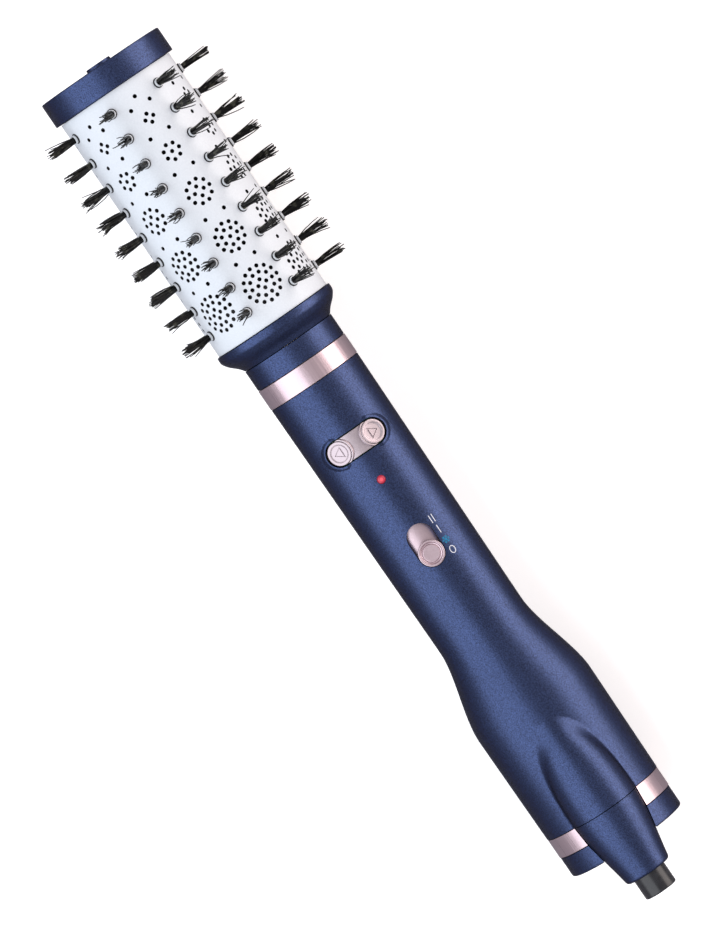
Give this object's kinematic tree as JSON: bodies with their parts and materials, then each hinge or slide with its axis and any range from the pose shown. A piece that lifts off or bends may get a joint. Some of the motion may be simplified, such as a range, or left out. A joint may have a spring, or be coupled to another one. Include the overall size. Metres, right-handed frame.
{
  "type": "rotating hot air brush",
  "caption": "Rotating hot air brush: perforated round barrel with rows of bristle tufts, slim handle with slide switch and turn buttons, flared tail with swivel cord gland.",
  "frame": {"origin": "centre of the tip cap's flat end face, on the brush's turning axis", "axes": "+X along the turning axis, from the tail towards the tip; +Z out of the side that carries the controls; +Y towards the left turn button when the tip points up"},
  "size_m": [0.3843, 0.0763, 0.0777],
  "materials": {
    "midnight_blue": "satin metallic lacquer with a fine flake",
    "rose_gold": "satin metallised, pale pink gold",
    "pearl_barrel": "pearl white ceramic-style coating, satin",
    "bristle_nylon": "dark nylon bristles",
    "gloss_black": "moulded gloss",
    "switch_black": "moulded matt",
    "grey_nylon": "glass-filled nylon, matt",
    "steel": "plain drawn steel",
    "brass": "turned",
    "white_acetal": "moulded acetal",
    "board_green": "glass epoxy with solder mask",
    "mica": "mica sheet",
    "red_lens": "clear tinted red",
    "lead_rubber": "flexible insulation"
  },
  "bodies": {
    "handle": {"barrel_collar": "midnight_blue", "neck_sleeve": "midnight_blue", "upper_trim_ring": "rose_gold", "front_casing": "midnight_blue", "rear_casing": "midnight_blue", "casing_screw_1": "steel", "casing_screw_2": "steel", "lower_trim_ring": "rose_gold", "tail_ring": "midnight_blue", "inlet_grille": "gloss_black", "cord_boot": "midnight_blue", "mains_lead": "lead_rubber", "button_plate": "rose_gold", "indicator_lens": "red_lens", "status_led": "red_lens", "speed_switch": "switch_black", "left_tact_switch": "switch_black", "right_tact_switch": "switch_black", "circuit_board": "board_green", "bearing_spider": "grey_nylon", "front_bush": "brass", "heat_shield": "mica", "heater_frame": "mica", "heater_coil": "steel", "thermal_cutout": "switch_black", "gearbox_housing": "grey_nylon", "motor_plate": "steel", "rear_bush": "brass", "idler_pin": "steel", "brush_motor": "steel", "fan_motor": "steel", "fan_housing": "grey_nylon"},
    "brush": {"barrel": "pearl_barrel", "bristle_row_1": "bristle_nylon", "bristle_row_2": "bristle_nylon", "bristle_row_3": "bristle_nylon", "bristle_row_4": "bristle_nylon", "bristle_row_5": "bristle_nylon", "bristle_row_6": "bristle_nylon", "bristle_row_7": "bristle_nylon", "end_cap": "midnight_blue", "tip_cap": "midnight_blue", "drive_hub": "grey_nylon", "drive_shaft": "steel", "output_gear": "white_acetal"},
    "idler": {"idler_gear": "white_acetal"},
    "motor_rotor": {"motor_pinion": "brass", "motor_shaft": "steel"},
    "fan_rotor": {"fan_impeller": "gloss_black", "fan_shaft": "steel"},
    "left_button": {"left_button": "rose_gold"},
    "right_button": {"right_button": "rose_gold"},
    "switch_knob": {"switch_knob": "rose_gold", "switch_plate": "rose_gold"},
    "cord_gland": {"cord_gland": "gloss_black"}
  },
  "joints": [
    {"name": "brush_spin", "type": "hinge", "parent": "handle", "child": "brush", "pos_m": [-0.066, 0, 0], "axis": [1, 0, 0], "continuous": true},
    {"name": "idler_spin", "type": "hinge", "parent": "handle", "child": "idler", "pos_m": [-0.18, 0, -0.008], "axis": [1, 0, 0], "continuous": true},
    {"name": "motor_spin", "type": "hinge", "parent": "handle", "child": "motor_rotor", "pos_m": [-0.19, 0, 0], "axis": [1, 0, 0], "continuous": true},
    {"name": "fan_spin", "type": "hinge", "parent": "handle", "child": "fan_rotor", "pos_m": [-0.324, 0, 0], "axis": [1, 0, 0], "continuous": true},
    {"name": "left_button_press", "type": "slide", "parent": "handle", "child": "left_button", "axis": [0, -0.3905, -0.9206], "range_m": [0, 0.0008], "stiffness_N_per_m": 2500},
    {"name": "right_button_press", "type": "slide", "parent": "handle", "child": "right_button", "axis": [0, 0.3905, -0.9206], "range_m": [0, 0.0008], "stiffness_N_per_m": 2500},
    {"name": "switch_slide", "type": "slide", "parent": "handle", "child": "switch_knob", "axis": [1, 0, 0], "range_m": [0, 0.0072]},
    {"name": "gland_swivel", "type": "hinge", "parent": "handle", "child": "cord_gland", "pos_m": [-0.373, 0, 0.02], "axis": [1, 0, 0], "continuous": true}
  ],
  "couplings": [
    {"joint": "idler_spin", "follows": "brush_spin", "ratio": -3},
    {"joint": "motor_spin", "follows": "brush_spin", "ratio": 9}
  ]
}
